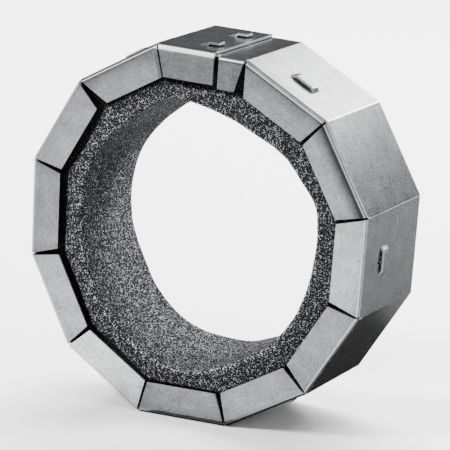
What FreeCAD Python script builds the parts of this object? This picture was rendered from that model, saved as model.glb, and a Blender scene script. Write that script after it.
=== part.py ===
# Pipe fire collar: a twelve-sided sheet steel housing, folded by hand from one strip and hooked
# shut, around a soft ring of intumescent material that swells in a fire and squeezes the pipe flat.
# Millimetres. The pipe runs along Y on the line x = 0, z = 0, the back that lies on the wall is
# the plane y = 0, and the flaps face -Y. The collar stands on one level panel.
import FreeCAD, Part
import math
import os

from FreeCAD import Placement, Rotation, Vector

# The pipe, and the ring that lines the housing
PIPE_DIAMETER = 110.0
PIPE_CLEARANCE = 0.5
LINER_THICKNESS = 21.6
LINER_GAP = 0.3
LINER_SETBACK = 2.0
LINER_SPLIT = 0.5
BORE_EDGE_RADIUS = 3.0

# The sheet that the housing is folded from
SHEET = 1.0
HOUSING_DEPTH = 50.0
CREASE_RADIUS = 0.5
FLAP_BEND_RADIUS = 1.2

# The flap at the front of each panel, and the notches between the flaps
FLAP_WIDTH = 13.7
FLAP_MITRE = 17.5
NOTCH_MARGIN = 0.05
NOTCH_OVERRUN = 0.4

# The folds between the panels in degrees, clockwise as seen from the front, from the end of the
# first panel after the closure. An even housing has 30 at each: these are as it was folded.
PANELS = 12
FOLDS = [31.7, 31.8, 29.6, 28.5, 28.2, 33.9, 30.3, 27.8, 29.9, 30.6]
PANELS_BEFORE_LEVEL = 5

# The flaps beside the closure are cut back at angles of their own
FIRST_FLAP_START_MITRE = 26.5
LAST_FLAP_START_MITRE = 31.0
LAST_FLAP_END_MITRE = 15.5
OUTER_FLAP_START_MITRE = 14.0
INNER_FLAP_END_MITRE = 16.0
OUTER_FLAP_TRIM = 0.5
CLOSURE_FLAP_GAP = 2.2

# The closure: the outer plate at the end of the strip lies over the inner plate at its start
OUTER_PLATE_LENGTH = 27.3
PLATE_OVERLAP = 16.0
PLATE_GAP = 0.2

# The hooks, pressed up out of the inner plate, and the slots in the outer plate that they pass
HOOK_PLACES = [12.0, 36.5]
HOOK_WIDTH = 5.0
HOOK_LENGTH = 7.4
HOOK_TIP_FROM_EDGE = 3.6
HOOK_RAMP = 2.8
HOOK_OPENING = 0.8
HOOK_BEND_RADIUS = 0.5
SLOT_SIDE_ROOM = 0.4
SLOT_START_ROOM = 1.2
SLOT_END_ROOM = 0.6

# The slot at the joint that a blade goes into to open the closure again
PRY_PLACE = 28.5
PRY_WIDTH = 1.0
PRY_LENGTH = 2.4
NICK_LENGTH = 1.2

# The bridges, pressed up out of every second panel, that the fixing hooks slide under
BRIDGE_SLOT_START = 13.1
BRIDGE_SLOT_WIDTH = 6.7
BRIDGE_WIDTH = 4.2
BRIDGE_LENGTH = 12.6
BRIDGE_RAMP = 1.9
BRIDGE_RISE = 1.7
BRIDGE_BEND_RADIUS = 0.5

# The two tongues left in the slot in front of each bridge, one from each end. The longer one's
# tip is bent in a little, as far as the liner behind it allows.
TONGUE_SIDE_GAP = 0.2
LONG_TONGUE_LENGTH = 6.3
LONG_TONGUE_BEND = 4.3
SHORT_TONGUE_LENGTH = 4.9
TONGUE_LINER_CLEARANCE = 0.1

bore_radius = PIPE_DIAMETER / 2 + PIPE_CLEARANCE
panel_distance = bore_radius + LINER_THICKNESS + LINER_GAP + SHEET
panel_length = 2 * panel_distance * math.tan(math.pi / PANELS)
plate_step = SHEET + PLATE_GAP
notch_depth = FLAP_BEND_RADIUS + SHEET + NOTCH_OVERRUN
liner_start = SHEET + LINER_SETBACK
cut_margin = 1.0
root_length = 1.0
along_pipe = Vector(0, 1, 0)
front = Vector(0, -HOUSING_DEPTH, 0)


def heading(angle):
    """Unit vector in the plane of the folds, at an angle counted from +X towards +Z."""
    return Vector(math.cos(math.radians(angle)), 0, math.sin(math.radians(angle)))


def panel_frame(corner, angle, sink=0.0):
    """Where a panel lies: X along it, Y from its front edge to the back, Z out of its face."""
    outwards = heading(angle + 90)
    return Placement(corner + front - outwards * sink, Rotation(along_pipe, -angle))


def box(start, end):
    size = end - start
    return Part.makeBox(size.x, size.y, size.z, start)


def bent_sheet(skin, bend_radius, axis):
    """Section of a bent sheet. Its outer skin follows the points of skin, with an arc at each
    bend, and axis is the line of the bends: along the skin, cross axis points out of the sheet."""
    way = (skin[1] - skin[0]).normalize()
    outer_at = skin[0]
    inner_at = skin[0] - way.cross(axis) * SHEET
    edges = [Part.LineSegment(inner_at, outer_at).toShape()]
    for before, corner, after in zip(skin, skin[1:], skin[2:]):
        way_in = (corner - before).normalize()
        way_out = (after - corner).normalize()
        out_before = way_in.cross(axis)
        out_after = way_out.cross(axis)
        folds_inwards = way_out.dot(out_before) < 0
        outer_radius = bend_radius + SHEET if folds_inwards else bend_radius
        inner_radius = bend_radius if folds_inwards else bend_radius + SHEET
        run = outer_radius * math.tan(way_in.getAngle(way_out) / 2)
        outer_start = corner - way_in * run
        outer_end = corner + way_out * run
        inner_start = outer_start - out_before * SHEET
        inner_end = outer_end - out_after * SHEET
        centre = outer_start + out_before * (-outer_radius if folds_inwards else outer_radius)
        to_middle = (corner - centre).normalize()
        outer_middle = centre + to_middle * outer_radius
        inner_middle = centre + to_middle * inner_radius
        edges.append(Part.LineSegment(outer_at, outer_start).toShape())
        edges.append(Part.Arc(outer_start, outer_middle, outer_end).toShape())
        edges.append(Part.LineSegment(inner_at, inner_start).toShape())
        edges.append(Part.Arc(inner_start, inner_middle, inner_end).toShape())
        outer_at = outer_end
        inner_at = inner_end
    last_way = (skin[-1] - skin[-2]).normalize()
    inner_last = skin[-1] - last_way.cross(axis) * SHEET
    edges.append(Part.LineSegment(outer_at, skin[-1]).toShape())
    edges.append(Part.LineSegment(inner_at, inner_last).toShape())
    edges.append(Part.LineSegment(inner_last, skin[-1]).toShape())
    return Part.Face(Part.Wire(Part.__sortEdges__(edges)))


def pressed_strip(profile, bend_radius, start, width):
    """Strip of sheet pressed up from a panel: its outer skin's (x, z) points, from start along Y."""
    skin = [Vector(x, start, z) for x, z in profile]
    return bent_sheet(skin, bend_radius, along_pipe).extrude(along_pipe * width)


def notch_root(fold):
    """How far from its corner a notch starts, just past the round of the crease."""
    return (CREASE_RADIUS + SHEET) * math.tan(math.radians(fold) / 2) + NOTCH_MARGIN


def flap(start, end, start_mitre, end_mitre):
    """Flap and the bend that carries it, from start to end along a panel's front edge."""
    skin = [Vector(0, 0, -FLAP_WIDTH), Vector(0, 0, 0), Vector(0, notch_depth, 0)]
    whole = bent_sheet(skin, FLAP_BEND_RADIUS, Vector(-1, 0, 0)).extrude(Vector(end, 0, 0))
    start_slope = math.tan(math.radians(start_mitre))
    end_slope = math.tan(math.radians(end_mitre))
    outline = []
    for height, slope, place, side in (
        (cut_margin, start_slope, start, 1),
        (-FLAP_WIDTH - cut_margin, start_slope, start, 1),
        (-FLAP_WIDTH - cut_margin, end_slope, end, -1),
        (cut_margin, end_slope, end, -1),
    ):
        outline.append(Vector(place - side * slope * height, 0, height))
    trapezium = Part.Face(Part.makePolygon(outline + outline[:1]))
    return whole.common(trapezium.extrude(along_pipe * notch_depth))


def fold_line():
    """Corners of the housing's outer skin, clockwise from the end of the closure, and the
    heading of the panel that starts at each but the last."""
    headings = [sum(FOLDS[:PANELS_BEFORE_LEVEL]) - 180]
    for fold in FOLDS:
        headings.append(headings[-1] - fold)
    corners = [Vector(0, 0, 0)]
    for angle in headings:
        corners.append(corners[-1] + heading(angle) * panel_length)
    middle = Vector(0, 0, 0)
    for corner in corners:
        middle += corner * (1 / len(corners))
    return [corner - middle for corner in corners], headings


corners, headings = fold_line()
closure_start = corners[-1]
closure_end = corners[0]
across = closure_end - closure_start
closure_length = math.sqrt(across.Length ** 2 - plate_step ** 2)
closure_heading = math.degrees(math.atan2(across.z, across.x) + math.atan2(plate_step, closure_length))
inner_plate_start = OUTER_PLATE_LENGTH - PLATE_OVERLAP
first_fold = closure_heading - headings[0]
last_fold = headings[-1] - closure_heading - 360 * math.floor((headings[-1] - closure_heading) / 360)
folds = [first_fold] + FOLDS + [last_fold]
closure_frame = panel_frame(closure_start, closure_heading)
inner_frame = panel_frame(closure_start, closure_heading, plate_step)


def wall():
    """The strip's walls, behind the flaps: eleven panels and the two plates of the closure."""
    along_closure = heading(closure_heading)
    inner_edge = closure_end - along_closure * (closure_length - inner_plate_start)
    outer_edge = closure_start + along_closure * OUTER_PLATE_LENGTH
    notch_floor = front + along_pipe * notch_depth
    skin = [point + notch_floor for point in [inner_edge] + corners + [outer_edge]]
    section = bent_sheet(skin, CREASE_RADIUS, along_pipe)
    return section.extrude(along_pipe * (HOUSING_DEPTH - notch_depth))


def flaps():
    """All the flaps: one on each panel, and one on each plate of the closure."""
    start_mitres = {0: FIRST_FLAP_START_MITRE, len(headings) - 1: LAST_FLAP_START_MITRE}
    end_mitres = {len(headings) - 1: LAST_FLAP_END_MITRE}
    made = []
    for index, angle in enumerate(headings):
        start = notch_root(folds[index])
        end = panel_length - notch_root(folds[index + 1])
        start_mitre = start_mitres.get(index, FLAP_MITRE)
        end_mitre = end_mitres.get(index, FLAP_MITRE)
        piece = flap(start, end, start_mitre, end_mitre)
        made.append(piece.transformed(panel_frame(corners[index], angle).toMatrix()))
    outer_end = OUTER_PLATE_LENGTH - OUTER_FLAP_TRIM
    outer_flap = flap(notch_root(last_fold), outer_end, OUTER_FLAP_START_MITRE, 0)
    made.append(outer_flap.transformed(closure_frame.toMatrix()))
    inner_end = closure_length - notch_root(first_fold)
    inner_flap = flap(outer_end + CLOSURE_FLAP_GAP, inner_end, 0, INNER_FLAP_END_MITRE)
    made.append(inner_flap.transformed(inner_frame.toMatrix()))
    return made


def bridge():
    """One bridge, the two tongues in front of it and the slot they all cross, in a panel's frame."""
    start = (panel_length - BRIDGE_LENGTH) / 2
    end = start + BRIDGE_LENGTH
    ramp_angle = math.atan2(BRIDGE_RISE, BRIDGE_RAMP)
    run = BRIDGE_BEND_RADIUS * math.tan(ramp_angle / 2)
    slot_end = BRIDGE_SLOT_START + BRIDGE_SLOT_WIDTH
    slot = box(
        Vector(start - run, BRIDGE_SLOT_START, -SHEET - cut_margin),
        Vector(end + run, slot_end, cut_margin),
    )
    profile = [
        (start - root_length, 0),
        (start, 0),
        (start + BRIDGE_RAMP, BRIDGE_RISE),
        (end - BRIDGE_RAMP, BRIDGE_RISE),
        (end, 0),
        (end + root_length, 0),
    ]
    front_edge = slot_end - BRIDGE_WIDTH
    strap = pressed_strip(profile, BRIDGE_BEND_RADIUS, front_edge, BRIDGE_WIDTH)
    tongue_side = BRIDGE_SLOT_START + TONGUE_SIDE_GAP
    tongue_width = front_edge - TONGUE_SIDE_GAP - tongue_side
    long_profile = [
        (start - root_length, 0),
        (start + LONG_TONGUE_BEND, 0),
        (start + LONG_TONGUE_LENGTH, TONGUE_LINER_CLEARANCE - LINER_GAP),
    ]
    short_profile = [(end - SHORT_TONGUE_LENGTH, 0), (end + root_length, 0)]
    long_tongue = pressed_strip(long_profile, BRIDGE_BEND_RADIUS, tongue_side, tongue_width)
    short_tongue = pressed_strip(short_profile, BRIDGE_BEND_RADIUS, tongue_side, tongue_width)
    return strap.multiFuse([long_tongue, short_tongue]), slot


def hook(place):
    """One hook, its window in the inner plate and its slot in the outer plate, in the closure's
    frame: from the window's start it slopes up through the slot and then lies over the plate."""
    tip = OUTER_PLATE_LENGTH - HOOK_TIP_FROM_EDGE
    start = tip - HOOK_LENGTH
    side = place - HOOK_WIDTH / 2
    top = HOOK_OPENING + SHEET
    ramp_angle = math.atan2(top + plate_step, HOOK_RAMP)
    run = HOOK_BEND_RADIUS * math.tan(ramp_angle / 2)
    profile = [
        (start - root_length, -plate_step),
        (start, -plate_step),
        (start + HOOK_RAMP, top),
        (tip, top),
    ]
    tongue = pressed_strip(profile, HOOK_BEND_RADIUS, side, HOOK_WIDTH)
    between_plates = -SHEET - PLATE_GAP / 2
    window = box(
        Vector(start - run, side, -plate_step - SHEET - cut_margin),
        Vector(tip, side + HOOK_WIDTH, between_plates),
    )
    slot = box(
        Vector(start - SLOT_START_ROOM, side - SLOT_SIDE_ROOM, between_plates),
        Vector(start + HOOK_RAMP + SLOT_END_ROOM, side + HOOK_WIDTH + SLOT_SIDE_ROOM, cut_margin),
    )
    return tongue, window, slot


def pry_cuts():
    """The pry slot in the inner plate, and the nick in the outer plate's edge above it."""
    side = PRY_PLACE - PRY_WIDTH / 2
    between_plates = -SHEET - PLATE_GAP / 2
    nick_start = OUTER_PLATE_LENGTH - NICK_LENGTH
    slot = box(
        Vector(nick_start, side, -plate_step - SHEET - cut_margin),
        Vector(OUTER_PLATE_LENGTH + PRY_LENGTH, side + PRY_WIDTH, between_plates),
    )
    nick = box(
        Vector(nick_start, side, between_plates),
        Vector(OUTER_PLATE_LENGTH + cut_margin, side + PRY_WIDTH, cut_margin),
    )
    return [slot, nick]


def housing():
    """The whole folded strip, one piece of sheet."""
    cuts = pry_cuts()
    pressed = []
    for place in HOOK_PLACES:
        tongue, window, slot = hook(place)
        pressed.append(tongue)
        cuts += [window, slot]
    cuts = [cut.transformed(closure_frame.toMatrix()) for cut in cuts]
    pressed = [strip.transformed(closure_frame.toMatrix()) for strip in pressed]
    for index in range(0, len(headings), 2):
        frame = panel_frame(corners[index], headings[index]).toMatrix()
        strip, slot = bridge()
        pressed.append(strip.transformed(frame))
        cuts.append(slot.transformed(frame))
    folded = wall().multiFuse(flaps()).cut(cuts)
    return folded.multiFuse(pressed).removeSplitter().Solids[0]


def inset(outline, distance):
    """Corners of a polygon whose sides have all come in by the distance."""
    moved = []
    for before, corner, after in zip(outline[-1:] + outline[:-1], outline, outline[1:] + outline[:1]):
        out_before = (corner - before).normalize().cross(along_pipe)
        out_after = (after - corner).normalize().cross(along_pipe)
        reach = distance / (1 + out_before.dot(out_after))
        moved.append(corner - (out_before + out_after) * reach)
    return moved


def liner():
    """The intumescent ring: twelve flat sides against the sheet, a round bore with a soft front
    edge, and a split where the two ends of the strip meet at the inner plate's edge."""
    along_inner_plate = heading(closure_heading)
    along_last_panel = heading(headings[-1])
    rise_per_length = along_last_panel.dot(heading(closure_heading + 90))
    back_up = along_last_panel * (plate_step / rise_per_length)
    outline = [closure_start - back_up] + corners[:-1]
    seat = [point + front for point in inset(outline, SHEET + LINER_GAP)]
    liner_length = HOUSING_DEPTH - liner_start
    block = Part.Face(Part.makePolygon(seat + seat[:1])).extrude(along_pipe * liner_length)
    block.translate(along_pipe * liner_start)
    start = front + along_pipe * liner_start
    bore = Part.makeCylinder(bore_radius, liner_length, start, along_pipe)
    ring = block.cut(bore)
    front_edge = [
        edge
        for edge in ring.Edges
        if isinstance(edge.Curve, Part.Circle) and abs(edge.CenterOfMass.y - start.y) < LINER_GAP
    ]
    ring = ring.makeFillet(BORE_EDGE_RADIUS, front_edge)
    split = box(
        Vector(inner_plate_start - LINER_SPLIT / 2, -cut_margin, -panel_distance),
        Vector(inner_plate_start + LINER_SPLIT / 2, HOUSING_DEPTH + cut_margin, 0),
    )
    return ring.cut(split.transformed(closure_frame.toMatrix())).Solids[0]


os.makedirs("parts", exist_ok=True)
for name, make in (("housing", housing), ("intumescent_liner", liner)):
    shape = make()
    shape.exportStep("parts/" + name + ".step")
    print(name, shape.ShapeType, shape.isValid(), round(shape.Volume, 1))
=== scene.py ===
import math

import bmesh
import bpy
from mathutils import Matrix, Vector, noise


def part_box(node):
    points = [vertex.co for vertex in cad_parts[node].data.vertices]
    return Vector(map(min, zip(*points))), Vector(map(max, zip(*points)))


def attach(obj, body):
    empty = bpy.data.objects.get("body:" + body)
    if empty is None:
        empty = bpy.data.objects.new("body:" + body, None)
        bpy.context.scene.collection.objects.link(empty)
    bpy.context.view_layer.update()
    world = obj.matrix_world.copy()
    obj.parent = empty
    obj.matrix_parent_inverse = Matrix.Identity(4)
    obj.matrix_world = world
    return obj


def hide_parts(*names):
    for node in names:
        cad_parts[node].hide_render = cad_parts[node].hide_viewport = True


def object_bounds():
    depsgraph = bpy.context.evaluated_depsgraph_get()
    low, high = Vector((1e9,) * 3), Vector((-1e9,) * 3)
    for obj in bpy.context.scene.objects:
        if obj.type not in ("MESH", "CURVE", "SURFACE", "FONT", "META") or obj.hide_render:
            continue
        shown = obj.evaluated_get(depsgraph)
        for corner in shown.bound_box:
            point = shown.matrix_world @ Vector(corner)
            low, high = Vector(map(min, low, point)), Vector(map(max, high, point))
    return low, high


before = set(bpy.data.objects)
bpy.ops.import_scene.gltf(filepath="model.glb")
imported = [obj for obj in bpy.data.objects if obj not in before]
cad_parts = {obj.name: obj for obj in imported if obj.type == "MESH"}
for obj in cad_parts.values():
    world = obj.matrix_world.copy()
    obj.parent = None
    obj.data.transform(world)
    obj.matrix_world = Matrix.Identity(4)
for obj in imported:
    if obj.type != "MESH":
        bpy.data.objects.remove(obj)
cad_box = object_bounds()
MM = 0.001


# The camera stands where the photographer's did: in front, to the right and a little above. The
# collar's panels gave its place, and it turns by a degree about its own axis, as the photo does.
AZIMUTH = math.radians(28.137)
ELEVATION = math.radians(13.779)
ROLL = math.radians(0.9145)
TARGET = Vector((0, -25, 0)) * MM
DISTANCE = 1194.2 * MM
SIDE_STEP = 2.045 * MM
UP_STEP = 0.08 * MM
FOCAL_PIXELS = 2855.9
FRAME_PIXELS = 450
SENSOR = 36

level = math.cos(ELEVATION)
camera_back = Vector((math.sin(AZIMUTH) * level, -math.cos(AZIMUTH) * level, math.sin(ELEVATION)))
plain_right = Vector((math.cos(AZIMUTH), math.sin(AZIMUTH), 0))
plain_up = camera_back.cross(plain_right)
camera_right = plain_right * math.cos(ROLL) + plain_up * math.sin(ROLL)
camera_up = plain_up * math.cos(ROLL) - plain_right * math.sin(ROLL)
camera_data = bpy.data.cameras.new("camera")
camera_data.sensor_width = SENSOR
camera_data.lens = FOCAL_PIXELS / FRAME_PIXELS * SENSOR
camera = bpy.data.objects.new("camera", camera_data)
bpy.context.scene.collection.objects.link(camera)
camera_place = TARGET + camera_back * DISTANCE + camera_right * SIDE_STEP + camera_up * UP_STEP
camera_turn = Matrix((camera_right, camera_up, camera_back)).transposed()
camera.matrix_world = Matrix.Translation(camera_place) @ camera_turn.to_4x4()
bpy.context.scene.camera = camera


# The floor is a flat sheet of white matt paper, wide enough to fill the picture behind the collar
# as the photo's camera sees it. It lies just under the panel that the collar stands on.
def linear(hex_colour):
    """An sRGB hex colour as the linear colour, with alpha, that a shader socket takes."""
    channels = [int(hex_colour[i:i + 2], 16) / 255 for i in (0, 2, 4)]
    return [c / 12.92 if c <= 0.04045 else ((c + 0.055) / 1.055) ** 2.4 for c in channels] + [1.0]


def add_node(tree, kind, settings=None, links=None):
    """A shader node with its properties or input values set, and its inputs linked, by name or place."""
    node = tree.nodes.new(kind)
    for name, value in (settings or {}).items():
        if isinstance(name, str) and hasattr(node, name):
            setattr(node, name, value)
        else:
            node.inputs[name].default_value = value
    for name, source in (links or {}).items():
        tree.links.new(source, node.inputs[name])
    return node


def new_material(name):
    """A material with an empty node tree, and the tree."""
    material = bpy.data.materials.new(name)
    material.use_nodes = True
    tree = material.node_tree
    tree.nodes.clear()
    return material, tree


FLOOR_REACH = 6
FLOOR_DROP = 0.02 * MM
floor_mesh = bpy.data.meshes.new("floor")
shape = bmesh.new()
bmesh.ops.create_grid(shape, x_segments=1, y_segments=1, size=FLOOR_REACH)
shape.to_mesh(floor_mesh)
shape.free()
floor = bpy.data.objects.new("floor", floor_mesh)
bpy.context.scene.collection.objects.link(floor)
floor.location = (0, 0, cad_box[0].z - FLOOR_DROP)
paper, tree = new_material("white_paper_sweep")
surface = add_node(tree, "ShaderNodeBsdfPrincipled", {"Base Color": linear("f8f8f8"), "Roughness": 0.8})
add_node(tree, "ShaderNodeOutputMaterial", {}, {"Surface": surface.outputs["BSDF"]})
floor.data.materials.append(paper)


# Soft studio light: a key from the left in front, which leaves the floor behind the collar in its
# shadow, two panels behind that the right side's panels mirror, an overhead and a right panel that
# draw the light lines on the bends, a box that shines into the bore and one over the far floor.
def soft_box(name, azimuth, elevation, distance, size, power, aim=TARGET):
    """A lamp turned to its aim, with angles in degrees, lengths in metres and power in watts."""
    data = bpy.data.lights.new(name, "AREA")
    data.shape = "RECTANGLE"
    data.size, data.size_y = size
    data.energy = power
    lamp = bpy.data.objects.new(name, data)
    bpy.context.scene.collection.objects.link(lamp)
    a, e = math.radians(azimuth), math.radians(elevation)
    towards = Vector((math.sin(a) * math.cos(e), -math.cos(a) * math.cos(e), math.sin(e)))
    lamp.location = aim + towards * distance
    lamp.rotation_mode = "QUATERNION"
    lamp.rotation_quaternion = towards.to_track_quat("Z", "Y")
    lamp.visible_camera = False
    return lamp


FAR_FLOOR = Vector((-0.3, 0.6, cad_box[0].z))
SKY_STRENGTH = 0.28
soft_box("key", -40, 42, 2.2, (0.5, 0.5), 70)
soft_box("back_panel", 171, 33, 1.5, (0.45, 0.4), 11)
soft_box("side_panel", 152, 29, 0.5, (0.21, 0.11), 1.6)
soft_box("overhead_panel", 40, 62, 1.2, (0.7, 0.5), 7)
soft_box("right_panel", 78, 26, 1.2, (0.8, 0.3), 5)
bore_box = soft_box("bore_box", 112, 40, 1.2, (0.25, 0.25), 34)
floor_box = soft_box("floor_box", 180, 82, 1.1, (1.2, 0.9), 75, FAR_FLOOR)
world = bpy.data.worlds.new("studio")
bpy.context.scene.world = world
world.use_nodes = True
sky = world.node_tree.nodes["Background"]
sky.inputs["Color"].default_value = linear("c8cacc")
sky.inputs["Strength"].default_value = SKY_STRENGTH


# Three cards on the floor keep its white off the collar, and none shows in the picture. The lower
# right panels mirror the grey one behind and the black one at the collar's foot, and the black one
# in front darkens the bore. From below they are clear, so they take no light from the floor.
HALF_SIDE = 0.5
CARD_DROP = FLOOR_DROP * 0.5
FOOT_DROP = FLOOR_DROP * 0.25


def floor_card(name, middle, size, colour, drop):
    """A card, its middle and size in metres, a drop below the panel that the collar stands on."""
    mesh = bpy.data.meshes.new(name)
    shape = bmesh.new()
    bmesh.ops.create_grid(shape, x_segments=1, y_segments=1, size=HALF_SIDE)
    bmesh.ops.scale(shape, vec=(*size, 1), verts=shape.verts)
    bmesh.ops.translate(shape, vec=(*middle, cad_box[0].z - drop), verts=shape.verts)
    shape.to_mesh(mesh)
    shape.free()
    card = bpy.data.objects.new(name, mesh)
    bpy.context.scene.collection.objects.link(card)
    paint, tree = new_material(name)
    front = add_node(tree, "ShaderNodeBsdfPrincipled", {"Base Color": linear(colour), "Roughness": 0.9})
    clear = add_node(tree, "ShaderNodeBsdfTransparent")
    side = add_node(tree, "ShaderNodeNewGeometry")
    surface = add_node(tree, "ShaderNodeMixShader", {},
                       {0: side.outputs["Backfacing"], 1: front.outputs["BSDF"], 2: clear.outputs["BSDF"]})
    add_node(tree, "ShaderNodeOutputMaterial", {}, {"Surface": surface.outputs["Shader"]})
    mesh.materials.append(paint)
    card.visible_camera = False
    card.visible_shadow = False
    return card


# Where two cards overlap, the one at the foot lies uppermost.
grey_card = floor_card("grey_card", (0.20, 0.20), (0.50, 0.50), "505050", CARD_DROP)
foot_card = floor_card("foot_card", (0.05, 0.01), (0.14, 0.13), "080808", FOOT_DROP)
bore_card = floor_card("bore_card", (0.25, -0.35), (0.60, 0.60), "101010", CARD_DROP)
foot_card.visible_diffuse = False
bore_card.visible_glossy = False

# Two boxes are masked. The floor's own box lights the floor and the grey card alone. The bore box
# lights the foam alone: it comes in at the open back, and leaves the bore dark behind its arris.
floor_only = bpy.data.collections.new("floor_only")
floor_only.objects.link(floor)
floor_only.objects.link(grey_card)
floor_box.light_linking.receiver_collection = floor_only
foam_only = bpy.data.collections.new("foam_only")
bore_box.light_linking.receiver_collection = foam_only


# The liner is one strip of soft intumescent foam, charcoal with pale grains of filler in it. It is
# cut with a knife and wound once round inside the housing behind the flaps, with its ends butted
# near the top, so its bore is a little uneven and its edges are soft.
BORE_FRONT = (
    (-177, 54.3), (-157, 55.9), (-140, 57.3), (-121, 57.9), (-110, 59.2), (-98, 59.0), (-87, 57.4),
    (-70, 55.0), (-48, 54.1), (-25, 53.5), (-6, 53.8), (9, 56.0), (19, 57.2), (32, 55.4), (45, 54.4),
    (60, 52.2), (75, 52.6), (88, 54.3), (105, 57.8), (119, 55.6), (138, 55.4), (155, 56.0), (172, 54.8),
)
BORE_BACK = (
    (-174, 56.4), (-153, 55.8), (-136, 57.5), (-118, 58.1), (-100, 56.1), (-85, 55.2), (-72, 53.8),
    (-40, 55.0), (0, 55.5), (40, 55.0), (80, 54.5), (104, 54.0), (124, 53.3), (140, 54.2), (158, 55.8),
)
# In all three, degrees run anticlockwise from the right as seen from the front. This one is how
# much farther in than FLAP_REACH the foam's front is sunk, in millimetres.
UNDER_FLAP_DIP = (
    (-150, 0.2), (-120, -0.6), (-95, -1.4), (-60, -1.4), (0, 0.0), (60, 0.3), (95, 0.5), (118, 0.2),
    (132, 0.8), (150, 1.5), (165, 0.8), (180, 0.7),
)
DIP_DEPTH = 3.2
DIP_SLOPE = 1.4
FLAP_REACH = 13.7
FRONT_PART = 0.2
FRONT_SWELL = 4
ARRIS = 2.4
ARRIS_TURNS = 6
OUTER_ARRIS = 1.5
OUTER_TURNS = 3
FOAM_STEPS = 640
BORE_ROW = 0.75
FACE_ROW = 0.75
BACK_ROW = 1.6
SIDE_ROW = 9.0
GRAIN = 0.55
GRAIN_HEIGHT = 0.13
LUMP = 7.0
LUMP_HEIGHT = 0.22
CAD_CORNER_REACH = 70
CAD_DIGITS = 2
FACES_RAY = 0.5
MERGE_REACH = MM / 1000

liner_box = [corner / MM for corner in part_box("intumescent_liner")]
foam_front, foam_back = liner_box[0].y, liner_box[1].y
liner_points = [vertex.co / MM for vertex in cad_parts["intumescent_liner"].data.vertices]
bore = min(math.hypot(point.x, point.z) for point in liner_points)
outside = {(round(point.x, CAD_DIGITS), round(point.z, CAD_DIGITS)) for point in liner_points
           if math.hypot(point.x, point.z) > CAD_CORNER_REACH}
corners = sorted(outside, key=lambda point: math.atan2(point[1], point[0]))
walls = []
for here, there in zip(corners, corners[1:] + corners[:1]):
    run = math.dist(here, there)
    facing = ((there[1] - here[1]) / run, (here[0] - there[0]) / run)
    walls.append((facing, facing[0] * here[0] + facing[1] * here[1]))
wall_distance = min(distance for facing, distance in walls)


def around(stations, angle):
    """A smooth closed curve through (degrees, value) stations, at an angle in degrees."""
    count = len(stations)
    after = next((i for i, station in enumerate(stations) if station[0] > angle), 0)
    turns = [stations[(after + k) % count] for k in (-2, -1, 0, 1)]
    degrees = [angle + (station[0] - angle + 180) % 360 - 180 for station in turns]
    values = [station[1] for station in turns]
    gap = degrees[2] - degrees[1]
    share = (angle - degrees[1]) / gap
    slopes = [(values[k + 1] - values[k - 1]) / (degrees[k + 1] - degrees[k - 1]) * gap for k in (1, 2)]
    smooth = share * share * (3 - 2 * share)
    bend = share * (1 - share) * ((1 - share) * slopes[0] - share * slopes[1])
    return values[1] + (values[2] - values[1]) * smooth + bend


def steps_between(start, end, step):
    """Evenly spaced values from start up to, but not at, end."""
    count = max(1, round(abs(end - start) / step))
    return [start + (end - start) * i / count for i in range(count)]


def rounded(centre, radius, start, turns):
    """The points of a quarter round in the section, as (radius, depth)."""
    angles = [math.radians(start + 90 * i / turns) for i in range(turns)]
    return [(centre[0] + radius * math.cos(a), centre[1] + radius * math.sin(a)) for a in angles]


# The strip's section runs forward along the bore, out behind the flaps, back along the housing and
# in along the open back.
section = [(bore, y) for y in steps_between(foam_back - ARRIS, foam_front + ARRIS, BORE_ROW)]
section += rounded((bore + ARRIS, foam_front + ARRIS), ARRIS, 180, ARRIS_TURNS)
section += [(r, foam_front) for r in steps_between(bore + ARRIS, wall_distance - OUTER_ARRIS, FACE_ROW)]
section += rounded((wall_distance - OUTER_ARRIS, foam_front + OUTER_ARRIS), OUTER_ARRIS, 270, OUTER_TURNS)
section += [(wall_distance, y)
            for y in steps_between(foam_front + OUTER_ARRIS, foam_back - OUTER_ARRIS, SIDE_ROW)]
section += rounded((wall_distance - OUTER_ARRIS, foam_back - OUTER_ARRIS), OUTER_ARRIS, 0, OUTER_TURNS)
section += [(r, foam_back) for r in steps_between(wall_distance - OUTER_ARRIS, bore + ARRIS, BACK_ROW)]
section += rounded((bore + ARRIS, foam_back - ARRIS), ARRIS, 90, ARRIS_TURNS)

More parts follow.
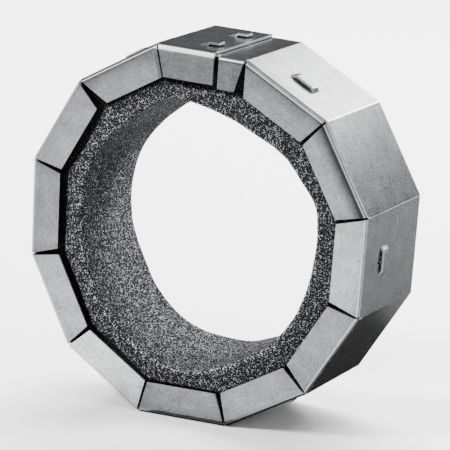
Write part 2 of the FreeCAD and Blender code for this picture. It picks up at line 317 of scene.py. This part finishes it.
# A grid is bent into the liner: one way runs round the collar, the other round the section.
shape = bmesh.new()
bmesh.ops.create_grid(shape, x_segments=FOAM_STEPS, y_segments=len(section), size=1)
# Two vertex attributes carry painted light to the foam: painted shade behind the flaps and a painted
# highlight along the bore's front edge.
flap_shade = shape.verts.layers.float.new("flap_shade")
edge_highlight = shape.verts.layers.float.new("edge_highlight")
spokes = []
for i in range(FOAM_STEPS):
    angle = 360 * i / FOAM_STEPS
    ray = (math.cos(math.radians(angle)), math.sin(math.radians(angle)))
    turned = (angle + 180) % 360 - 180
    facing_ray = [(facing[0] * ray[0] + facing[1] * ray[1], distance) for facing, distance in walls]
    spokes.append({
        "ray": ray,
        "front": around(BORE_FRONT, turned),
        "back": around(BORE_BACK, turned),
        "dip": around(UNDER_FLAP_DIP, turned),
        "wall": min(distance / slope for slope, distance in facing_ray if slope > FACES_RAY),
    })
for vertex in shape.verts:
    spoke = spokes[round((vertex.co.x + 1) / 2 * FOAM_STEPS) % FOAM_STEPS]
    reach, y = section[round((vertex.co.y + 1) / 2 * len(section)) % len(section)]
    ray = spoke["ray"]
    depth = (y - foam_front) / (foam_back - foam_front)
    hole = spoke["front"] * (1 - depth) + spoke["back"] * depth
    share = (reach - bore) / (wall_distance - bore)
    # A painted highlight along the bore's front edge, strongest on its arris.
    vertex[edge_highlight] = max(0, 1 - abs((reach - bore) - (y - foam_front)) / ARRIS) ** 2
    reach += (hole - bore) * (1 - share) + (spoke["wall"] - wall_distance) * share
    spot = Vector((ray[0] * reach, y, ray[1] * reach))
    if share < 1 and depth < FRONT_PART:
        inside = min(distance - facing[0] * spot.x - facing[1] * spot.z for facing, distance in walls)
        under = min(max((FLAP_REACH + spoke["dip"] - inside) / DIP_SLOPE, 0), 1)
        spot.y += DIP_DEPTH * under * under * (3 - 2 * under)
        # Painted shade on the foam where it is tucked behind the flaps.
        vertex[flap_shade] = under
    rough = noise.noise(spot / LUMP) * LUMP_HEIGHT + noise.noise(spot / GRAIN) * GRAIN_HEIGHT
    swell = Vector((-ray[0], 0, -ray[1])) * (1 - share)
    if depth < FRONT_PART:
        swell.y = -min(share, 1 - share) * FRONT_SWELL
    spot += swell * rough
    vertex.co = spot * MM
bmesh.ops.remove_doubles(shape, verts=shape.verts, dist=MERGE_REACH)
bmesh.ops.recalc_face_normals(shape, faces=shape.faces)
foam_mesh = bpy.data.meshes.new("foam_liner")
shape.to_mesh(foam_mesh)
shape.free()
foam_mesh.shade_smooth()
foam_liner = bpy.data.objects.new("foam_liner", foam_mesh)
bpy.context.scene.collection.objects.link(foam_liner)
foam_only.objects.link(foam_liner)

# Charcoal foam filled with graphite and pale mineral grains: dead matt, black in its open cells and
# sprinkled with light grains a few tenths of a millimetre across. A painted highlight makes it paler
# along the bore's front edge, and painted shade makes it black where it is tucked behind the flaps.
GRAIN_CELL = 0.27 * MM
GRAIN_COLOURS = (
    (0.0, "08090b"), (0.6, "16181b"), (0.84, "292b2f"), (0.92, "8c8e93"), (1.0, "f4f4f5"),
)
CELL_DEPTH = 0.25 * MM
CLOUD = 6 * MM
CLOUD_TONE = (0.85, 1.15)
NOISE_RANGE = (0.3, 0.7)
# How strong the painted highlight along the bore's front edge is, and how dark the painted shade behind
# the flaps is.
EDGE_HIGHLIGHT_GAIN = 1.5
FLAP_SHADE_DARKER = 0.88
foam, tree = new_material("grainy_charcoal_foam")
place = add_node(tree, "ShaderNodeTexCoord").outputs["Object"]
cells = add_node(tree, "ShaderNodeTexVoronoi", {"Scale": 1 / GRAIN_CELL}, {"Vector": place})
cell = add_node(tree, "ShaderNodeSeparateColor", {}, {"Color": cells.outputs["Color"]})
tones = add_node(tree, "ShaderNodeValToRGB", {}, {"Fac": cell.outputs["Red"]})
ramp = tones.color_ramp
for position, colour in GRAIN_COLOURS:
    stop = ramp.elements.new(position) if 0 < position < 1 else ramp.elements[-int(position)]
    stop.color = linear(colour)
clouds = add_node(tree, "ShaderNodeTexNoise", {"Scale": 1 / CLOUD, "Detail": 3.0}, {"Vector": place})
cloud_tone = add_node(tree, "ShaderNodeMapRange",
                      {"From Min": NOISE_RANGE[0], "From Max": NOISE_RANGE[1],
                       "To Min": CLOUD_TONE[0], "To Max": CLOUD_TONE[1]},
                      {"Value": clouds.outputs["Fac"]})
# The painted highlight along the bore's front edge.
edge = add_node(tree, "ShaderNodeAttribute", {"attribute_name": "edge_highlight"})
edge_highlight_tone = add_node(tree, "ShaderNodeMath", {"operation": "MULTIPLY_ADD", 1: EDGE_HIGHLIGHT_GAIN, 2: 1.0},
                     {0: edge.outputs["Fac"]})
# Painted shade where the foam is tucked behind the flaps.
behind = add_node(tree, "ShaderNodeAttribute", {"attribute_name": "flap_shade"})
flap_shade_tone = add_node(tree, "ShaderNodeMath", {"operation": "MULTIPLY_ADD", 1: -FLAP_SHADE_DARKER, 2: 1.0},
                       {0: behind.outputs["Fac"]})
# The painted highlight and the painted shade together.
painted_foam_light = add_node(tree, "ShaderNodeMath", {"operation": "MULTIPLY"},
                {0: edge_highlight_tone.outputs[0], 1: flap_shade_tone.outputs[0]})
foam_tone = add_node(tree, "ShaderNodeMath", {"operation": "MULTIPLY"},
                     {0: painted_foam_light.outputs[0], 1: cloud_tone.outputs[0]})
foam_colour = add_node(tree, "ShaderNodeMix", {"data_type": "RGBA", "blend_type": "MULTIPLY", 0: 1.0},
                       {6: tones.outputs["Color"], 7: foam_tone.outputs[0]})
bump = add_node(tree, "ShaderNodeBump", {"Strength": 0.6, "Distance": CELL_DEPTH},
                {"Height": cell.outputs["Green"]})
surface = add_node(tree, "ShaderNodeBsdfPrincipled", {"Roughness": 0.95, "Specular IOR Level": 0.2},
                   {"Base Color": foam_colour.outputs[2], "Normal": bump.outputs["Normal"]})
add_node(tree, "ShaderNodeOutputMaterial", {}, {"Surface": surface.outputs["BSDF"]})
foam_liner.data.materials.append(foam)
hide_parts("intumescent_liner")
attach(foam_liner, "root")


# The housing is one strip of mild steel sheet, cold rolled and left satin, folded by hand into
# twelve panels and hooked shut. Its flaps are bent in over the liner from the same strip. Each
# flap and panel lies a little differently, so the light that each mirrors is painted into its
# colour as a tone of its own: a painted reflection.
SHEET_AND_GAP = 1.3
SAME_FACING = 0.05
FAR_AWAY = 1.0
HOUSING_DEPTH = -cad_box[0].y
BEND_REACH = 2.2 * MM
BEND_CORE = 0.7
# The width and tone of the painted dark reflection line along each bend.
BEND_SHADE_WIDTH = 0.32 * MM
BEND_SHADE_TONE = 0.25
SHADE_REACH = 8 * MM
BEND_ROUGHNESS = 0.38
# The crease's painted highlight line, and the painted shade on each side of it.
CREASE_LINE = 0.25 * MM
CREASE_HIGHLIGHT = 1.35
CREASE_SHADE_REACH = 2.5 * MM
CREASE_SHADE = 0.84
SMUDGE = 7 * MM
SMUDGE_TONE = (0.86, 1.14)
EDGE_ON = (0.5, 0.6)
SHEARED_ROUGHNESS = 0.6
SHEAR_MARK = 0.9 * MM
# A wave texture with a scale of 1 repeats every 0.314 m.
BAND_PERIOD = 0.314
# The painted shade in corners: how far it looks, where it is full and where it ends, and its roughness.
CORNER_SHADE_REACH = 3 * MM
FULL_SHADE_BELOW = 0.82
NO_SHADE_ABOVE = 0.92
CORNER_SHADE_ROUGHNESS = 0.9
ROLLING_LINE = 0.55 * MM
ROLLING_RUN = 30 * MM
ROLLING_TONE = (0.90, 1.10)
MOTTLE = 0.7 * MM
MOTTLE_TONE = (0.66, 1.34)
SHEET_ROUGHNESS = (0.24, 0.34)
FINE_DEPTH = 0.02 * MM
WAVE = 28 * MM
WAVE_DEPTH = 0.35 * MM
# From the lower left panel, anticlockwise as seen from the front: the painted light of the flap,
# the painted light of the panel, and how dark the painted shade on the flap beside its bend is.
PAINTED_LIGHT_TONES = (
    (0.77, 1.0, 0.10), (1.45, 1.0, 0.00), (0.55, 1.0, 0.00), (0.71, 1.0, 0.00),
    (0.60, 0.9, 0.00), (1.02, 0.9, 0.05), (0.70, 1.0, 0.92), (0.64, 1.0, 0.50),
    (0.35, 1.0, 0.00), (0.62, 1.0, 0.45), (0.66, 1.0, 0.10), (0.50, 1.0, 0.10),
)

# Walls of the liner that face the same way lie behind one panel. Each place on the steel takes its
# painted light and its outward direction from the panel that it is nearest to.
steel, tree = new_material("satin_rolled_steel")
place = add_node(tree, "ShaderNodeTexCoord").outputs["Object"]
nearest = None
faced = []
for (x, z), distance in walls:
    if not any(math.dist((x, z), other) < SAME_FACING for other, _ in faced):
        faced.append(((x, z), distance))
for ((x, z), distance), colour in zip(faced, PAINTED_LIGHT_TONES, strict=True):
    out = add_node(tree, "ShaderNodeVectorMath", {"operation": "DOT_PRODUCT", 1: (x, 0, z)}, {0: place})
    gap = add_node(tree, "ShaderNodeMath", {"operation": "SUBTRACT", 0: (distance + SHEET_AND_GAP) * MM},
                   {1: out.outputs["Value"]})
    gap = gap.outputs[0]
    if nearest is None:
        nearest = gap
        second = add_node(tree, "ShaderNodeMath", {"operation": "MAXIMUM", 1: FAR_AWAY}, {0: gap})
        second = second.outputs[0]
        tone = add_node(tree, "ShaderNodeCombineXYZ", {"X": colour[0], "Y": colour[1], "Z": colour[2]})
        tone = tone.outputs[0]
        outward = add_node(tree, "ShaderNodeCombineXYZ", {"X": x, "Z": z}).outputs[0]
        continue
    closer = add_node(tree, "ShaderNodeMath", {"operation": "LESS_THAN"}, {0: gap, 1: nearest})
    farther = add_node(tree, "ShaderNodeMath", {"operation": "MAXIMUM"}, {0: gap, 1: nearest})
    second = add_node(tree, "ShaderNodeMath", {"operation": "MINIMUM"},
                      {0: farther.outputs[0], 1: second}).outputs[0]
    nearest = add_node(tree, "ShaderNodeMath", {"operation": "MINIMUM"}, {0: gap, 1: nearest}).outputs[0]
    tone = add_node(tree, "ShaderNodeMix", {"data_type": "VECTOR", 5: colour},
                    {0: closer.outputs[0], 4: tone}).outputs[1]
    outward = add_node(tree, "ShaderNodeMix", {"data_type": "VECTOR", 5: (x, 0, z)},
                       {0: closer.outputs[0], 4: outward}).outputs[1]

# Across the strip, from the open back over the bend and on along the flap.
parts = add_node(tree, "ShaderNodeSeparateXYZ", {}, {0: place})
toned = add_node(tree, "ShaderNodeSeparateXYZ", {}, {0: tone})
across = add_node(tree, "ShaderNodeMath", {"operation": "SUBTRACT"}, {0: nearest, 1: parts.outputs["Y"]})
on_flap = add_node(tree, "ShaderNodeMapRange",
                   {"From Min": HOUSING_DEPTH, "From Max": HOUSING_DEPTH + BEND_REACH},
                   {"Value": across.outputs[0]})
# Painted shade darkens each flap beside its bend, as much as the table's third column says.
beside_bend = add_node(tree, "ShaderNodeMapRange",
                       {"From Min": HOUSING_DEPTH + BEND_REACH, "From Max": HOUSING_DEPTH + SHADE_REACH,
                        "To Min": 1.0, "To Max": 0.0}, {"Value": across.outputs[0]})
shade = add_node(tree, "ShaderNodeMath", {"operation": "MULTIPLY"},
                 {0: beside_bend.outputs[0], 1: toned.outputs["Z"]})
lit = add_node(tree, "ShaderNodeMath", {"operation": "SUBTRACT", 0: 1.0}, {1: shade.outputs[0]})
flap_tone = add_node(tree, "ShaderNodeMath", {"operation": "MULTIPLY"},
                     {0: lit.outputs[0], 1: toned.outputs["X"]})
flat_tone = add_node(tree, "ShaderNodeMix", {},
                     {0: on_flap.outputs[0], 2: toned.outputs["Y"], 3: flap_tone.outputs[0]})
from_bend = add_node(tree, "ShaderNodeMath", {"operation": "SUBTRACT", 1: HOUSING_DEPTH},
                     {0: across.outputs[0]})
from_bend = add_node(tree, "ShaderNodeMath", {"operation": "ABSOLUTE"}, {0: from_bend.outputs[0]})
# A painted dark reflection line runs along the middle of each bend.
bend_shade = add_node(tree, "ShaderNodeMapRange",
                     {"From Min": BEND_SHADE_WIDTH / 2, "From Max": BEND_SHADE_WIDTH,
                      "To Min": BEND_SHADE_TONE, "To Max": 1.0}, {"Value": from_bend.outputs[0]})
on_bend = add_node(tree, "ShaderNodeMapRange",
                   {"From Min": BEND_REACH * BEND_CORE, "From Max": BEND_REACH,
                    "To Min": 1.0, "To Max": 0.0}, {"Value": from_bend.outputs[0]})
face_tone = add_node(tree, "ShaderNodeMath", {"operation": "MULTIPLY"},
                     {0: flat_tone.outputs[0], 1: bend_shade.outputs[0]})

# At a crease two panels are equally near. A painted highlight makes its line pale, with painted
# shade on each side.
to_crease = add_node(tree, "ShaderNodeMath", {"operation": "SUBTRACT"}, {0: second, 1: nearest})
crease_highlight = add_node(tree, "ShaderNodeMapRange", {"From Min": CREASE_LINE / 2, "From Max": CREASE_LINE,
                                                  "To Min": CREASE_HIGHLIGHT, "To Max": 1.0},
                     {"Value": to_crease.outputs[0]})
crease_shade = add_node(tree, "ShaderNodeMapRange", {"From Min": 0, "From Max": CREASE_SHADE_REACH,
                                                      "To Min": CREASE_SHADE, "To Max": 1.0},
                         {"Value": to_crease.outputs[0]})
crease_light = add_node(tree, "ShaderNodeMath", {"operation": "MULTIPLY"},
                       {0: crease_highlight.outputs[0], 1: crease_shade.outputs[0]})
face_tone = add_node(tree, "ShaderNodeMath", {"operation": "MULTIPLY"},
                     {0: face_tone.outputs[0], 1: crease_light.outputs[0]})

# Smudges, rolling lines and a mottle lie over the whole strip, and it is a little wavy.
smudges = add_node(tree, "ShaderNodeTexNoise", {"Scale": 1 / SMUDGE, "Detail": 2.0}, {"Vector": place})
smudge_tone = add_node(tree, "ShaderNodeMapRange",
                       {"From Min": NOISE_RANGE[0], "From Max": NOISE_RANGE[1],
                        "To Min": SMUDGE_TONE[0], "To Max": SMUDGE_TONE[1]},
                       {"Value": smudges.outputs["Fac"]})
face_tone = add_node(tree, "ShaderNodeMath", {"operation": "MULTIPLY"},
                     {0: face_tone.outputs[0], 1: smudge_tone.outputs[0]})
stretched = add_node(tree, "ShaderNodeMath", {"operation": "MULTIPLY", 1: ROLLING_RUN / ROLLING_LINE},
                     {0: across.outputs[0]})
strip = add_node(tree, "ShaderNodeCombineXYZ", {},
                 {"X": parts.outputs["X"], "Y": stretched.outputs[0], "Z": parts.outputs["Z"]})
lines_across = add_node(tree, "ShaderNodeTexNoise", {"Scale": 1 / ROLLING_RUN, "Detail": 2.0},
                        {"Vector": strip.outputs[0]})
mottle = add_node(tree, "ShaderNodeTexNoise", {"Scale": 1 / MOTTLE, "Detail": 3.0, "Roughness": 0.7},
                  {"Vector": place})
waves = add_node(tree, "ShaderNodeTexNoise", {"Scale": 1 / WAVE, "Detail": 1.0}, {"Vector": place})
line_tone = add_node(tree, "ShaderNodeMapRange",
                     {"From Min": NOISE_RANGE[0], "From Max": NOISE_RANGE[1],
                      "To Min": ROLLING_TONE[0], "To Max": ROLLING_TONE[1]},
                     {"Value": lines_across.outputs["Fac"]})
mottle_tone = add_node(tree, "ShaderNodeMapRange",
                       {"From Min": NOISE_RANGE[0], "From Max": NOISE_RANGE[1],
                        "To Min": MOTTLE_TONE[0], "To Max": MOTTLE_TONE[1]},
                       {"Value": mottle.outputs["Fac"]})
both = add_node(tree, "ShaderNodeMath", {"operation": "MULTIPLY"},
                {0: line_tone.outputs[0], 1: mottle_tone.outputs[0]})
every = add_node(tree, "ShaderNodeMath", {"operation": "MULTIPLY"},
                 {0: both.outputs[0], 1: face_tone.outputs[0]})
steel_colour = add_node(tree, "ShaderNodeMix",
                        {"data_type": "RGBA", "blend_type": "MULTIPLY", 0: 1.0, 6: linear("969799")},
                        {7: every.outputs[0]})
roughness = add_node(tree, "ShaderNodeMapRange",
                     {"From Min": NOISE_RANGE[0], "From Max": NOISE_RANGE[1],
                      "To Min": SHEET_ROUGHNESS[0], "To Max": SHEET_ROUGHNESS[1]},
                     {"Value": mottle.outputs["Fac"]})
bent_roughness = add_node(tree, "ShaderNodeMix", {3: BEND_ROUGHNESS},
                          {0: on_bend.outputs[0], 2: roughness.outputs[0]})

# Where the sheet was sheared, its edge is torn rough and painted bright, partly as bright torn metal
# and partly as a painted highlight: the bridges', hooks' and slots' sides, the outer plate's end and
# the open back. Fine marks cross the edges that run along the pipe.
normal = add_node(tree, "ShaderNodeNewGeometry").outputs["True Normal"]
facing_out = add_node(tree, "ShaderNodeVectorMath", {"operation": "DOT_PRODUCT"}, {0: normal, 1: outward})
facing_out = add_node(tree, "ShaderNodeMath", {"operation": "ABSOLUTE"}, {0: facing_out.outputs["Value"]})
flat = add_node(tree, "ShaderNodeMath", {"operation": "MAXIMUM"},
                {0: facing_out.outputs[0], 1: on_flap.outputs[0]})
sheared = add_node(tree, "ShaderNodeMapRange",
                   {"From Min": EDGE_ON[0], "From Max": EDGE_ON[1], "To Min": 1.0, "To Max": 0.0},
                   {"Value": flat.outputs[0]})

# Painted shade darkens the corners along the foot of the outer plate's end and round the bridges
# and hooks. There the steel is painted matt, nearly black and not metal.
in_the_open = add_node(tree, "ShaderNodeAmbientOcclusion", {"only_local": True, "Distance": CORNER_SHADE_REACH})
unshaded = add_node(tree, "ShaderNodeMapRange", {"From Min": FULL_SHADE_BELOW, "From Max": NO_SHADE_ABOVE},
                 {"Value": in_the_open.outputs["AO"]})
face_colour = add_node(tree, "ShaderNodeMix", {"data_type": "RGBA", 6: linear("0c0c0d")},
                       {0: unshaded.outputs[0], 7: steel_colour.outputs[2]})
face_roughness = add_node(tree, "ShaderNodeMix", {2: CORNER_SHADE_ROUGHNESS},
                          {0: unshaded.outputs[0], 3: bent_roughness.outputs[0]})
metal = add_node(tree, "ShaderNodeMath", {"operation": "MAXIMUM"},
                 {0: unshaded.outputs[0], 1: sheared.outputs[0]})
shear_marks = add_node(tree, "ShaderNodeTexWave",
                       {"bands_direction": "Y", "Scale": BAND_PERIOD / SHEAR_MARK}, {"Vector": place})
torn_and_highlight_colour = add_node(tree, "ShaderNodeMix",
                       {"data_type": "RGBA", 6: linear("8c8e92"), 7: linear("eeeff0")},
                       {0: shear_marks.outputs["Fac"]})
all_colour = add_node(tree, "ShaderNodeMix", {"data_type": "RGBA"},
                      {0: sheared.outputs[0], 6: face_colour.outputs[2], 7: torn_and_highlight_colour.outputs[2]})
all_roughness = add_node(tree, "ShaderNodeMix", {3: SHEARED_ROUGHNESS},
                         {0: sheared.outputs[0], 2: face_roughness.outputs[0]})
fine = add_node(tree, "ShaderNodeBump", {"Strength": 0.12, "Distance": FINE_DEPTH},
                {"Height": both.outputs[0]})
wavy = add_node(tree, "ShaderNodeBump", {"Strength": 0.6, "Distance": WAVE_DEPTH},
                {"Height": waves.outputs["Fac"], "Normal": fine.outputs[0]})
surface = add_node(tree, "ShaderNodeBsdfPrincipled", {},
                   {"Base Color": all_colour.outputs[2], "Metallic": metal.outputs[0],
                    "Roughness": all_roughness.outputs[0], "Normal": wavy.outputs[0]})
add_node(tree, "ShaderNodeOutputMaterial", {}, {"Surface": surface.outputs["BSDF"]})
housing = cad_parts["housing"]
housing.data.materials.clear()
housing.data.materials.append(steel)
